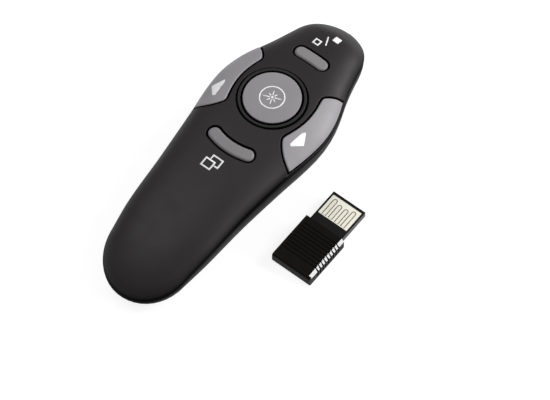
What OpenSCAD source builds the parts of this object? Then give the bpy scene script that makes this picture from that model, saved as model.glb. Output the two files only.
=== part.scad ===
// Wireless presentation clicker with its USB receiver beside it.
// X across, +Y towards the laser end, Z up; z = 0 is the table, the origin is under the rest patch.

/* [Body] */
// overall length of the clicker, tail to nose
body_l = 112; // [104:1:126]
// widest width, at the side buttons
body_w = 40; // [36:0.5:46]
// height of the top over the table
body_h = 25; // [24:0.5:28]
// moulded wall of both covers
wall = 1.4; // [1.1:0.1:2]
// depth of the V line where the covers meet
seam = 0.35; // [0.1:0.05:0.6]
// stations along the body
n_len = 48; // [24:2:72]
// points across each half section
n_arc = 24; // [12:2:40]
// how far the belly is cut flat
belly = 0.9; // [0.4:0.1:1.5]

/* [Laser button] */
// distance of the round button's middle from the nose
laser_nose = 39; // [36:0.5:42]
// round button radius
laser_r = 8.85; // [7:0.05:10]
// trim ring outer radius
ring_r = 10.7; // [9.5:0.1:12]
// line between ring and cover
ring_gap = 0.3; // [0.15:0.05:0.5]

/* [Other buttons] */
// clearance round every travelling button
gap = 0.6; // [0.3:0.05:0.8]
// press travel of every button
press = 0.5; // [0.3:0.05:0.8]
// distance of the pill button's middle from the nose
pill_nose = 19.7; // [18:0.1:22]
// bend radius of the pill button
pill_c = 70; // [20:5:120]
// pill button hole width
pill_w = 5.15; // [4:0.05:6]
// pill button hole length
pill_len = 12.9; // [9:0.1:14]
// distance of the curved lower button's middle behind the round one's
bean_back = 20.85; // [19:0.05:25]
// bend radius of the curved lower button
bean_c = 20; // [16:0.5:40]
// curved button hole width
bean_w = 5.1; // [4:0.1:6]
// curved button hole length
bean_len = 18; // [13:0.5:20]
// raise of the button faces over the cover
proud = 0.2; // [0:0.05:0.5]

/* [Battery bay] */
// AAA cell radius
cell_r = 5.25; // [5:0.05:5.25]
// AAA cell length with its nub
cell_l = 44.5; // [44:0.1:45]
// cell axis distance from the middle
cell_x = 5.75; // [5.5:0.05:6.5]
// radius of the cover's round head end
cover_r = 17; // [14:0.5:18]
// distance of that round end from the nose
cover_nose = 26; // [24:0.5:30]

/* [Receiver] */
// receiver body width
rec_w = 14.2; // [13.4:0.1:16]
// receiver body length behind the plug
rec_l = 16.9; // [14:0.1:17]
// receiver body height
rec_h = 4.4; // [4:0.1:6]
// plug width
plug_w = 12; // [11.9:0.05:12.1]
// plug length
plug_l = 12; // [11.8:0.05:12.2]
// thickness of the slim plug
plug_h = 2.3; // [2.1:0.05:2.5]
// width of the contact face
face_w = 10.7; // [10:0.1:11]
// length of the contact face
face_l = 7.6; // [6.5:0.1:8]
// spacing of the grip ribs
rib_pitch = 1.27; // [1:0.01:1.4]
// width of the grooves between the ribs
rib_gap = 0.55; // [0.3:0.05:0.8]
// receiver place across, beside the clicker
rec_x = 32.95; // [29:0.05:60]
// receiver rear end along
rec_y = -16.1; // [-60:0.1:40]

/* [Hidden] */
$fn = 48;
hl = body_l / 2;
hw = body_w / 2;
laser_y = hl - laser_nose;
pill_y = hl - pill_nose;
bean_y = laser_y - bean_back;
cover_z = 0.28 * body_h;       // joint between battery cover and lower cover
cover_end = hl - cover_nose;
cover_y = cover_end - cover_r;
top_mid = 0.26 * body_h;      // height over the parting line at the widest place
bot_mid = 0.76 * body_h;      // depth under it
hull_n = 2.4;
hull_m = 2.2;
tail_z = 0.28 * body_h;       // height of the tail tip
nose_z = 0.38 * body_h;       // height of the nose tip
pcb_z = 0.64 * body_h;
pcb_y0 = -0.357 * hl;
pcb_y1 = hl - 15;
pcb_t = 1;
pcb_top = pcb_z + pcb_t;
plunger_z = 0.836 * body_h;   // top of every switch plunger at rest
sw_h = plunger_z - pcb_top - press - 0.2;
seat_z = 0.9 * body_h;        // trim ring's seat
low = 0.6 * body_h;           // cuts through the crown run from here
high = 2 * body_h;
sw_r = 1.6;
collar_r = ring_r + 1.6;      // collar that carries the trim ring
side_x = 0.71 * hw;           // side switches
sw_w = 4.2;                   // switch body
side_y = laser_y;
side_cut = 0.8 * body_h;      // lower edge of the side buttons
side_open = side_cut - press - 0.25; // lower edge of their holes
deck_z = cover_z + 1.2;
deck_t = 1;
cell_z = deck_z + 0.6;
bay_y0 = 12 - hl;             // inner ends of the cell bay
bay_y1 = bay_y0 + cell_l + 4.5;
bay_end = hl - 20.8;          // head wall of the receiver bay
trough_r = cell_r + 0.25;
boss_x = cell_x + cell_r + 2;
boss_y = bay_y1 - 2;
tail_boss_y = 7.8 - hl;
tail_post = 0.444 * body_h;
beam_z = nose_z;
tab_z = cell_z + 2.8;
plug_z = (rec_h - plug_h) / 2;
plug_top = plug_z + plug_h;
face_y = plug_l - face_l - 0.95;  // contact face from the shoulder
black = [0.20, 0.19, 0.20];
grey = [0.60, 0.58, 0.60];
metal = [0.75, 0.75, 0.77];

// place, half width, top, parting line, bottom, top-section exponent; parts of the body sizes
SECT = [
  [-1.00, 0.660, 0.608, 0.280, 0.104, 2.2],
  [-0.80, 0.690, 0.694, 0.436, 0.030, 2.3],
  [-0.59, 0.765, 0.812, 0.572, -0.026, 2.5],
  [-0.30, 0.825, 0.928, 0.660, -0.036, 2.7],
  [0.00, 0.920, 0.988, 0.712, -0.036, 2.9],
  [0.18, 0.988, 1.000, 0.736, -0.036, 3.0],
  [0.32, 1.000, 0.996, 0.744, -0.036, 3.0],
  [0.46, 0.925, 0.976, 0.736, -0.022, 3.0],
  [0.64, 0.735, 0.936, 0.708, 0.024, 2.8],
  [0.79, 0.612, 0.876, 0.660, 0.076, 2.5],
  [0.89, 0.550, 0.808, 0.584, 0.128, 2.3],
  [1.00, 0.530, 0.720, 0.380, 0.184, 2.2]];

function seg(u, i = 0) = (i >= len(SECT) - 2 || u <= SECT[i + 1][0]) ? i : seg(u, i + 1);
function slope(i, c) = let(a = max(i - 1, 0), b = min(i + 1, len(SECT) - 1))
  (SECT[b][c] - SECT[a][c]) / (SECT[b][0] - SECT[a][0]);
function at(u, c) = let(i = seg(u), h = SECT[i + 1][0] - SECT[i][0], t = (u - SECT[i][0]) / h)
  (2*t^3 - 3*t^2 + 1) * SECT[i][c] + (t^3 - 2*t^2 + t) * slope(i, c) * h
  + (3*t^2 - 2*t^3) * SECT[i + 1][c] + (t^3 - t^2) * slope(i + 1, c) * h;
function cap(d, r) = d >= r ? 1 : sqrt(max(0, 1 - (1 - d / r)^2));
function ends(y, rt, rn) = cap(y + hl, rt) * cap(hl - y, rn);
function half_w(y) = hw * at(y / hl, 1) * ends(y, 13, 11);
function tip_z(y) = y < 0 ? tail_z : nose_z;
function z_top(y) = tip_z(y) + (body_h * at(y / hl, 2) - tip_z(y)) * ends(y, 16, 9);
function z_part(y) = body_h * at(y / hl, 3);
function z_bot(y) = tip_z(y) - (tip_z(y) - body_h * at(y / hl, 4)) * ends(y, 14, 10);
function depth(y, side, t) = side > 0 ? (z_top(y) - z_part(y)) * (1 - t / top_mid)
  : (z_part(y) - z_bot(y)) * (1 - (t > 0 ? t + belly : t) / bot_mid);

// one half section, from the +X edge over the crown (side 1) or under the belly (side -1) to the -X edge
function ring(ys, side, t, g) = let(
    w = half_w(ys) * (1 - t / hw), y = ys * (1 - t / hl), zp = z_part(ys), h = depth(ys, side, t),
    n = side > 0 ? at(ys / hl, 5) : hull_n, e = side > 0 ? 1 : 2 / hull_m,
    q = g * ends(ys, 13, 11), a0 = max(asin(min(0.5, q / h)), 2))
  concat([[w - q, y, zp]],
    [for (j = [0:n_arc]) let(a = a0 + (180 - 2 * a0) * j / n_arc, c = cos(a))
      [w * sign(c) * pow(abs(c), 2 / n), y, zp + side * h * pow(sin(a), e)]],
    [[q - w, y, zp]]);

function tri(a, b, c, d, s) = s > 0 ? [[a, b, c], [a, c, d]] : [[c, b, a], [d, c, a]];

// whole half shell between two insets, closed at both tips
module half_shell(side, t0, t1, g) {
  k = n_arc + 3;
  ys = [for (i = [1:n_len - 1]) -hl * cos(180 * i / n_len)];
  m = len(ys);
  pts = concat([for (y = ys) each ring(y, side, t0, g)], [for (y = ys) each ring(y, side, t1, 0)],
    [[0, -hl, tail_z], [0, hl, nose_z], [0, t1 - hl, tail_z], [0, hl - t1, nose_z]]);
  o = m * k;
  p = 2 * m * k;
  faces = concat(
    [for (i = [0:m - 2], j = [0:k - 2]) let(a = i * k + j)
      each tri(a, a + 1, a + k + 1, a + k, side)],
    [for (i = [0:m - 2], j = [0:k - 2]) let(a = o + i * k + j)
      each tri(a, a + k, a + k + 1, a + 1, side)],
    [for (i = [0:m - 2]) let(a = i * k) each tri(a, a + k, o + a + k, o + a, side)],
    [for (i = [0:m - 2]) let(a = i * k + k - 1) each tri(a, o + a, o + a + k, a + k, side)],
    [for (j = [0:k - 2]) side > 0 ? [p, j + 1, j] : [j, j + 1, p]],
    [for (j = [0:k - 2]) side > 0 ? [p + 2, o + j, o + j + 1] : [o + j + 1, o + j, p + 2]],
    [for (j = [0:k - 2]) let(a = (m - 1) * k + j) side > 0 ? [a, a + 1, p + 1] : [p + 1, a + 1, a]],
    [for (j = [0:k - 2]) let(a = o + (m - 1) * k + j)
      side > 0 ? [a + 1, a, p + 3] : [p + 3, a, a + 1]],
    tri(p, 0, o, p + 2, side), tri(p, p + 2, o + k - 1, k - 1, side),
    tri((m - 1) * k, p + 1, p + 3, o + (m - 1) * k, side),
    tri((m - 1) * k + k - 1, o + (m - 1) * k + k - 1, p + 3, p + 1, side));
  polyhedron(points = pts, faces = faces, convexity = 6);
}

// a stretch of half shell with flat ends
module skin(side, t0, t1, ya, yb, n) {
  k = n_arc + 3;
  ys = [for (i = [0:n]) ya + (yb - ya) * i / n];
  m = n + 1;
  flat = [for (y = ys) each [for (q = ring(y, side, t1, 0)) [q[0], y, q[2]]]];
  pts = concat([for (y = ys) each [for (q = ring(y, side, t0, 0)) [q[0], y, q[2]]]], flat);
  o = m * k;
  faces = concat(
    [for (i = [0:m - 2], j = [0:k - 2]) let(a = i * k + j)
      each tri(a, a + 1, a + k + 1, a + k, side)],
    [for (i = [0:m - 2], j = [0:k - 2]) let(a = o + i * k + j)
      each tri(a, a + k, a + k + 1, a + 1, side)],
    [for (i = [0:m - 2]) let(a = i * k) each tri(a, a + k, o + a + k, o + a, side)],
    [for (i = [0:m - 2]) let(a = i * k + k - 1) each tri(a, o + a, o + a + k, a + k, side)],
    [for (j = [0:k - 2]) each tri(j, o + j, o + j + 1, j + 1, side)],
    [for (j = [0:k - 2]) let(a = (m - 1) * k + j) each tri(a, a + 1, o + a + 1, o + a, side)]);
  polyhedron(points = pts, faces = faces, convexity = 6);
}

// half width of the hull at height z, for the flat pieces inside it
function hull_x(y, z, t) = let(h = depth(y, -1, t), q = max(0, z_part(y) - z) / h)
  q >= 1 ? 0 : half_w(y) * (1 - t / hw) * pow(1 - pow(q, hull_m), 1 / hull_n);
module hull_plate(z, h, t, ya, yb, n = 30) {
  right = [for (i = [0:n]) let(y = ya + (yb - ya) * i / n) [hull_x(y, z, t), y]];
  left = [for (i = [n:-1:0]) [-right[i][0], right[i][1]]];
  translate([0, 0, z]) linear_extrude(h) polygon(concat(right, left));
}

// closed tube along a path
function unit(v) = v / norm(v);
module tube(path, r, up, k = 8) {
  m = len(path);
  pts = [for (i = [0:m - 1]) let(
      t = unit(path[min(i + 1, m - 1)] - path[max(i - 1, 0)]), a = unit(cross(t, up)), b = cross(t, a))
    for (j = [0:k - 1]) path[i] + r * (cos(360 * j / k) * a + sin(360 * j / k) * b)];
  faces = concat([[for (j = [0:k - 1]) j]], [[for (j = [k - 1:-1:0]) (m - 1) * k + j]],
    [for (i = [0:m - 2], j = [0:k - 1]) let(a = i * k + j, b = i * k + (j + 1) % k)
      each [[a, a + k, b], [b, a + k, b + k]]]);
  polyhedron(points = pts, faces = faces, convexity = 4);
}
function bend(a, b, c, d, n = 10) = [for (i = [0:n]) let(t = i / n)
  (1-t)^3 * a + 3 * t * (1-t)^2 * b + 3 * t^2 * (1-t) * c + t^3 * d];

// bent capsule with its middle at mid; s is 1 when it bulges towards the nose, -1 towards the tail
module arc_slot(mid, r, length, width, s, e = 0) {
  a = (length - width) / 2 / r * 180 / PI;
  w = width / 2 + e;
  n = 10;
  up = [for (i = [0:n]) let(f = -a + 2 * a * i / n) [(r + w) * sin(f), (r + w) * cos(f)]];
  e1 = [for (i = [1:n - 1]) let(q = 180 * i / n)
    [r * sin(a), r * cos(a)] + w * [sin(a + q), cos(a + q)]];
  dn = [for (i = [0:n]) let(f = a - 2 * a * i / n) [(r - w) * sin(f), (r - w) * cos(f)]];
  e2 = [for (i = [1:n - 1]) let(q = 180 + 180 * i / n)
    [-r * sin(a), r * cos(a)] + w * [sin(q - a), cos(q - a)]];
  translate([0, mid - s * r]) scale([1, s]) polygon(concat(up, e1, dn, e2));
}
module pill_2d(e = 0) arc_slot(pill_y, pill_c, pill_len, pill_w, 1, e);
module bean_2d(e = 0) arc_slot(bean_y, bean_c, bean_len, bean_w, -1, e);

// side button outline on the right: an oval with the round button's ring biting into it
oval = [side_x + 6.8, laser_y];
oval_a = 12.85;
oval_b = 15.9;
bite = [-9.8, laser_y + 1.4];
bite_r = collar_r - bite[0] + 0.1;
eye = [side_x + 2.8, laser_y];
lip_y = oval_b - 0.4;
function ray_oval(f) = let(d = [cos(f) / oval_a, sin(f) / oval_b],
    p = [(eye[0] - oval[0]) / oval_a, (eye[1] - oval[1]) / oval_b],
    a = d * d, b = d * p, c = p * p - 1) (-b + sqrt(b * b - a * c)) / a;
function ray_bite(f) = let(d = [cos(f), sin(f)], p = eye - bite, b = d * p,
    q = b * b - (p * p - bite_r^2)) (q > 0 && b < 0) ? -b - sqrt(q) : 60;
function side_r(f) = pow(pow(ray_oval(f), -9) + pow(ray_bite(f), -9), -1 / 9);
module side_2d(e = 0) polygon([for (i = [0:59]) let(f = 6 * i, r = side_r(f) + e)
  eye + r * [cos(f), sin(f)]]);

module prism(z0, z1) translate([0, 0, z0]) linear_extrude(z1 - z0) children();
module rod_y(r, y0, y1, x, z) translate([x, y0, z]) rotate([-90, 0, 0]) cylinder(h = y1 - y0, r = r);
module box(x0, x1, y0, y1, z0, z1) translate([x0, y0, z0]) cube([x1 - x0, y1 - y0, z1 - z0]);
module both() { children(); mirror([1, 0, 0]) children(); }

module top_cover() color(black) difference() {
  union() {
    half_shell(1, 0, wall, seam);
    translate([0, laser_y, seat_z - 1.9]) cylinder(h = 3, r = collar_r);
    both() translate([boss_x, boss_y, pcb_z - 0.2]) cylinder(h = 0.27 * body_h, r = 2.3);
    translate([0, tail_boss_y, tail_post]) cylinder(h = 0.1 * body_h, r = 1.9);
  }
  translate([0, laser_y, seat_z]) cylinder(h = body_h, r = ring_r + ring_gap);
  translate([0, laser_y, low]) cylinder(h = body_h, r = ring_r - 0.6);
  prism(low, high) pill_2d();
  prism(low, high) bean_2d();
  both() prism(side_open, high) side_2d();
  both() translate([side_x, side_y, low]) cylinder(h = plunger_z - low, r = sw_r + 0.25);
  both() translate([boss_x, boss_y, low]) cylinder(h = pcb_z + 5.2 - low, r = 1.02);
  translate([0, tail_boss_y, tail_post - 1]) cylinder(h = 2.85, r = 1.02);
  rod_y(2.75, hl - 9, hl + 2, 0, beam_z);
}

// ledge and upright lip behind the line under each side button
module lip(z0, z1, t) difference() {
  intersection() {
    difference() {
      hull_plate(z0, z1 - z0, t, side_y - lip_y, side_y + lip_y, 16);
      translate([0, 0, -1]) hull_plate(z0, z1 - z0 + 2, 3.2, side_y - lip_y - 0.5, side_y + lip_y + 0.5, 16);
    }
    box(hw / 2, 2 * hw, side_y - lip_y, side_y + lip_y, z0, z1);
  }
  box(hw / 2, side_x + sw_w / 2 + 0.25, side_y - sw_w / 2 - 0.25, side_y + sw_w / 2 + 0.25, pcb_z, high);
}

module bottom_cover() color(black) difference() {
  union() {
    difference() {
      half_shell(-1, 0, wall, seam);
      translate([-body_w, -body_l, -5]) cube([2 * body_w, 2 * body_l, 5]);
      prism(-3, cover_z + 0.05) cover_2d(0.15);
    }
    hull_plate(deck_z, deck_t, wall * 0.5, tail_boss_y - 2.2, bay_end + 0.8);
    both() difference() {
      rod_y(trough_r + 0.85, bay_y0 - 0.8, bay_y1 + 0.8, cell_x, cell_z);
      box(-hw, body_w, bay_y0 - 2, bay_y1 + 2, 0, deck_z);
      box(-hw, 0, bay_y0 - 2, bay_y1 + 2, 0, body_h);
    }
    both() lip(low, 0.7 * body_h, 0.9);
    both() lip(0.696 * body_h, 0.784 * body_h, 2.5);
    box(-8.6, 8.6, bay_y0 - 0.8, bay_y0, 4.6, deck_z + 0.5);
    box(-10.6, 10.6, bay_y1, bay_y1 + 0.8, 3.8, deck_z + 0.5);
    both() box(rec_w / 2 + 0.6, rec_w / 2 + 1.4, bay_y1 + 0.4, bay_end - 11.2, 4, deck_z + 0.5);
    both() translate([boss_x, boss_y, deck_z]) cylinder(h = pcb_z - 0.25 - deck_z, r = 3.1);
    translate([0, tail_boss_y, deck_z]) cylinder(h = tail_post - 0.05 - deck_z, r = 2.7);
    both() for (p = [[12, laser_y - 3], [8.5, laser_y + 15]]) translate([p[0], p[1], deck_z]) cylinder(h = pcb_z - deck_z, r = 1.2);
    box(-6.6, 6.6, bay_end, bay_end + 0.8, 3.4, deck_z + 0.5);
    difference() {
      box(-4.2, 4.2, hl - 14.5, hl - 9, 0.128 * body_h, beam_z);
      rod_y(3.05, hl - 16, hl - 8, 0, beam_z);
    }
  }
  both() rod_y(trough_r, bay_y0, bay_y1, cell_x, cell_z);
  both() box(cell_x - 1.3, cell_x + 1.3, bay_y1 - 1, bay_y1 + 2, tab_z - 0.6, tab_z + 1);
  both() translate([boss_x, boss_y, deck_z - 1]) cylinder(h = pcb_z - deck_z + 2, r = 1.3);
  both() translate([boss_x, boss_y, deck_z - 1]) cylinder(h = 2.4, r = 2.2);
  translate([0, tail_boss_y, deck_z - 1]) cylinder(h = tail_post - deck_z + 2, r = 1.3);
  translate([0, tail_boss_y, deck_z - 1]) cylinder(h = 2.45, r = 2.1);
  rod_y(2.75, hl - 8.99, hl + 2, 0, beam_z);
}

module cover_2d(e) {
  translate([-body_w, -body_l]) square([2 * body_w, body_l + cover_y]);
  translate([0, cover_y]) circle(r = cover_r + e);
}

module battery_cover() color(black) difference() {
  union() {
    intersection() {
      half_shell(-1, 0, wall, 0.05);
      prism(0, cover_z - 0.05) cover_2d(-0.15);
    }
    both() box(cell_x + 5.55, cell_x + 6.55, bay_y1 - 21, bay_y1 - 1, 4, cover_z - 0.1);
    box(-4, 4, cover_end - 5, cover_end - 2, 1.2, 3.7);
    box(-4, 4, cover_end - 5, cover_end + 3, 3.05, 3.7);
  }
  for (i = [0:4]) let(y = cover_end - 11 + 2 * i) box(-6, 6, y - 0.4, y + 0.4, -1, 0.4);
}

module button_ring() color([0.16, 0.16, 0.17]) translate([0, laser_y, 0]) rotate_extrude()
  translate([0, body_h]) polygon([[laser_r + 0.5, seat_z - body_h], [ring_r, seat_z - body_h], [ring_r, -1.2],
    [ring_r - ring_gap, -1.2], [ring_r - ring_gap, -0.25], [ring_r - ring_gap - 0.2, -0.05],
    [laser_r + ring_gap + 0.65, -0.05], [laser_r + ring_gap + 0.45, -0.25],
    [laser_r + ring_gap + 0.45, -1.2], [laser_r + 0.5, -1.2]]);

module laser_button() color(grey) translate([0, laser_y, 0]) rotate_extrude() polygon([[0, plunger_z],
    [2, plunger_z], [2, seat_z - 1.1], [laser_r + 0.9, seat_z - 1.1], [laser_r + 0.9, seat_z - 0.15],
    [laser_r, seat_z - 0.15], [laser_r, body_h - 0.2], [laser_r - 0.12, body_h + 0.02],
    [laser_r - 0.4, body_h + 0.15], [laser_r - 2.5, body_h + 0.22], [laser_r - 5, body_h + 0.27], [0, body_h + 0.3]]);

module screen_button() color(grey) union() {
  intersection() {
    skin(1, -proud, wall + 1, pill_y - 5, pill_y + 5, 8);
    prism(low, high) pill_2d(-gap);
  }
  prism(plunger_z, 0.896 * body_h) pill_2d(-gap - 0.2);
}

module window_button() color(grey) union() {
  intersection() {
    skin(1, -proud, wall + 1, bean_y - 6, bean_y + 6, 8);
    prism(low, high) bean_2d(-gap);
  }
  prism(plunger_z + 0.4, 0.912 * body_h) bean_2d(-gap - 0.2);
  translate([0, bean_y, plunger_z]) cylinder(h = 1, r = 1.8);
}

module side_button() union() {
  intersection() {
    skin(1, -proud, wall, side_y - oval_b - 1.1, side_y + oval_b + 1.1, 16);
    prism(side_cut, high) side_2d(-gap);
  }
  intersection() {
    translate([side_x, side_y, plunger_z]) cylinder(h = 0.076 * body_h, r = 1.5);
    prism(low, high) side_2d(-gap);
  }
}
module prev_button() color([0.65, 0.63, 0.65]) mirror([1, 0, 0]) side_button();
module next_button() color([0.65, 0.63, 0.65]) side_button();

module plunger(x, y) color([0.12, 0.12, 0.12]) translate([x, y, plunger_z - 2.2])
  cylinder(h = 2.2, r = sw_r);
module laser_plunger() plunger(0, laser_y);
module prev_plunger() plunger(-side_x, side_y);
module next_plunger() plunger(side_x, side_y);
module screen_plunger() plunger(0, pill_y);
module window_plunger() plunger(0, bean_y);

switches = [[0, laser_y], [-side_x, side_y], [side_x, side_y], [0, pill_y], [0, bean_y]];
module tact_switches() color([0.3, 0.3, 0.32]) for (p = switches) translate([p[0], p[1], pcb_top])
  difference() {
    translate([-sw_w / 2, -sw_w / 2, 0]) cube([sw_w, sw_w, sw_h]);
    translate([0, 0, 1]) cylinder(h = 4, r = sw_r + 0.3);
  }

module circuit_board() color([0.08, 0.30, 0.16]) difference() {
  translate([0, 0, pcb_z]) linear_extrude(pcb_t) polygon(concat(
    [for (i = [0:20]) let(y = pcb_y0 + (pcb_y1 - pcb_y0) * i / 20) [half_w(y) * 0.93 - 2.1, y]],
    [for (i = [20:-1:0]) let(y = pcb_y0 + (pcb_y1 - pcb_y0) * i / 20) [2.1 - half_w(y) * 0.93, y]]));
  both() translate([boss_x, boss_y, low]) cylinder(h = body_h, r = 2.7);
}

module radio_chip() color([0.1, 0.1, 0.1]) box(-9.5, -4.5, bay_y1 - 4, bay_y1 + 1, pcb_top, pcb_top + 0.9);
module crystal_can() color(metal) translate([5, bay_y1 - 0.5, pcb_top]) union() {
  for (s = [-1.6, 1.6]) translate([s, 0, 0]) cylinder(h = 1.6, r = 1.5);
  translate([-1.6, -1.5, 0]) cube([3.2, 3, 1.6]);
}
chips = [[-3, bay_y1 - 3.8], [-3, bay_y1 - 1.8], [9.2, bay_y1 - 8.8], [9.2, bay_y1 - 6.8],
  [-6, bay_y1 - 17.8], [-4, bay_y1 - 17.8], [4, bay_y1 - 19.8], [6, bay_y1 - 19.8],
  [-9, laser_y + 7.2], [-7, laser_y + 7.2], [6, laser_y + 9.2], [8, laser_y + 9.2]];
module chip_parts() color([0.55, 0.45, 0.32]) for (p = chips)
  translate([p[0] - 0.4, p[1], pcb_top]) cube([0.8, 1.6, 0.6]);

module cell(s) {
  y0 = s < 0 ? bay_y1 - 0.4 - cell_l : bay_y0 + 0.4 + 0.8;
  rod_y(cell_r, y0, y0 + cell_l - 0.8, s * cell_x, cell_z);
  rod_y(2, s < 0 ? bay_y1 - 1.3 : bay_y0 + 0.4, s < 0 ? bay_y1 - 0.4 : bay_y0 + 1.3, s * cell_x, cell_z);
}
module left_cell() color([0.30, 0.45, 0.62]) cell(-1);
module right_cell() color([0.30, 0.45, 0.62]) cell(1);

coil_l = bay_y1 - bay_y0 - 0.8 - cell_l;
function coil_path(n = 44, turns = 3) = [for (i = [0:n]) let(f = i / n, r = 3.4 - 1.4 * f)
  [r * cos(360 * turns * f), 0.35 + (coil_l - 0.7) * f, r * sin(360 * turns * f)]];
module coil() tube(coil_path(), 0.28, [0, 1, 0], 6);
module contact_coils() color(metal) {
  translate([-cell_x, bay_y0 + 0.4, cell_z]) coil();
  translate([cell_x, bay_y1 - 0.4, cell_z]) rotate([0, 0, 180]) coil();
}
module contact_bridge() color(metal) union() {
  both() rod_y(4.6, bay_y0, bay_y0 + 0.4, cell_x, cell_z);
  box(-cell_x, cell_x, bay_y0, bay_y0 + 0.4, 5.2, 7.6);
}
module contact_tabs() color(metal) both() union() {
  rod_y(4.6, bay_y1 - 0.4, bay_y1, cell_x, cell_z);
  box(cell_x - 0.9, cell_x + 0.9, bay_y1 - 0.4, bay_y1 + 3, tab_z, tab_z + 0.4);
}

module battery_lead(s) translate([s * cell_x, bay_y1 + 2.4, tab_z + 0.95])
  tube(bend([0, 0, 0], [0, 3.5, 0.4], [s * 2, 4.9, 0], [s * 2, 5, pcb_z - tab_z - 1.02]), 0.5, [1, 0.1, 0]);
module red_lead() color([0.75, 0.08, 0.06]) battery_lead(-1);
module black_lead() color([0.05, 0.05, 0.05]) battery_lead(1);
module laser_leads() color([0.75, 0.08, 0.06]) both()
  tube(bend([1.2, hl - 17.85, beam_z], [1.2, hl - 22, beam_z + 0.4], [2, hl - 19.4, pcb_z - 3], [2, hl - 19.4, pcb_z - 0.08]), 0.4, [1, 0, 0.1]);

module laser_module() color([0.78, 0.60, 0.28]) union() {
  rod_y(3, hl - 17.8, hl - 6, 0, beam_z);
  rod_y(2.4, hl - 6, hl - 4.8, 0, beam_z);
}
module laser_bezel() color([0.7, 0.7, 0.72]) translate([0, hl - 4.7, beam_z]) rotate([-90, 0, 0]) rotate_extrude()
  polygon([[1.7, 0], [2.7, 0], [2.7, 4.4], [2.45, 4.65], [2.0, 4.4], [2.0, 3.0], [1.7, 3.0]]);
module laser_lens() color([0.55, 0.12, 0.12, 0.6]) translate([0, hl - 1.68, beam_z]) rotate([-90, 0, 0]) rotate_extrude()
  polygon([[0, 0], [1.96, 0], [1.96, 0.5], [1.2, 0.68], [0, 0.75]]);

module case_screw(x, y, top) translate([x, y, 0]) difference() {
  union() {
    translate([0, 0, deck_z + 0.2]) cylinder(h = 1.19, r = 1.85);
    translate([0, 0, deck_z + 1.2]) cylinder(h = top - deck_z - 1.2, r = 1);
  }
  for (a = [0, 90]) rotate([0, 0, a]) translate([-1.2, -0.2, deck_z]) cube([2.4, 0.4, 0.8]);
}
module case_screws() color(metal) {
  both() case_screw(boss_x, boss_y, pcb_z + 4.8);
  case_screw(0, tail_boss_y, tail_post + 1.5);
}

// receiver, drawn from its rear middle at the table
module at_rec() translate([rec_x, rec_y, 0]) children();
module receiver_shell() color([0.09, 0.09, 0.09]) at_rec() difference() {
  translate([-rec_w / 2, 0.9, 0]) cube([rec_w, rec_l - 0.9, rec_h]);
  for (i = [0:8]) translate([0, rec_l - 2.85 - rib_pitch * i, 0]) {
    for (s = [-1, 1]) translate([s * rec_w / 2 - 0.4, 0, 0.7]) cube([0.8, rib_gap, rec_h - 1.1]);
    translate([1.1 - rec_w / 2, 0, rec_h - 0.25]) cube([rec_w - 2.2, rib_gap, 1]);
  }
  translate([-rec_w / 2 + 1, 2, 1]) cube([rec_w - 2, rec_l - 3.2, rec_h - 2]);
  translate([-plug_w / 2 - 0.02, rec_l - 1.25, plug_z - 0.02]) cube([plug_w + 0.04, 2, plug_h + 0.04]);
}
module receiver_end() color([0.11, 0.11, 0.11]) at_rec() translate([-rec_w / 2, 0, 0]) rotate([90, 0, 90])
  linear_extrude(rec_w) polygon(concat([[0.9, 0], [0.9, rec_h]],
    [for (i = [0:6]) let(f = 90 + 15 * i) [0.9 + 0.9 * cos(f), rec_h - 0.9 + 0.9 * sin(f)]],
    [for (i = [0:6]) let(f = 180 + 15 * i) [0.9 + 0.9 * cos(f), 0.9 + 0.9 * sin(f)]]));
module receiver_plug() color([0.16, 0.16, 0.17]) at_rec() difference() {
  translate([-plug_w / 2, rec_l - 1.2, plug_z]) cube([plug_w, plug_l + 1.2, plug_h]);
  translate([-face_w / 2 - 0.02, rec_l + face_y - 0.02, plug_top - 0.6])
    cube([face_w + 0.04, face_l + 0.04, 1]);
}
module receiver_tongue() color([0.95, 0.93, 0.85]) at_rec()
  translate([-face_w / 2, rec_l + face_y, plug_top - 0.6]) cube([face_w, face_l, 0.55]);
module receiver_pads() color([0.85, 0.70, 0.35]) at_rec() for (x = [-3.5, -1.2, 1.2, 3.5])
  translate([x, rec_l + face_y, plug_top - 0.05]) union() {
    translate([-0.6, 0.3, 0]) cube([1.2, abs(x) > 2 ? 5.7 : 4.9, 0.08]);
    translate([0, abs(x) > 2 ? 6 : 5.2, 0]) cylinder(h = 0.08, r = 0.6);
  }
module receiver_chip() color([0.1, 0.1, 0.1]) at_rec() union() {
  translate([-5.5, 3, 1]) cube([11, 10, 0.8]);
  translate([-2.5, 6, 1.8]) cube([5, 5, 0.9]);
}

top_cover();
bottom_cover();
battery_cover();
button_ring();
laser_button();
screen_button();
window_button();
prev_button();
next_button();
laser_plunger();
prev_plunger();
next_plunger();
screen_plunger();
window_plunger();
tact_switches();
circuit_board();
radio_chip();
crystal_can();
chip_parts();
left_cell();
right_cell();
contact_coils();
contact_bridge();
contact_tabs();
red_lead();
black_lead();
laser_leads();
laser_module();
laser_bezel();
laser_lens();
case_screws();
receiver_shell();
receiver_end();
receiver_plug();
receiver_tongue();
receiver_pads();
receiver_chip();
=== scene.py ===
import math
import bmesh
import bpy
import numpy as np
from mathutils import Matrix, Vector
from mathutils.geometry import delaunay_2d_cdt


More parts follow.
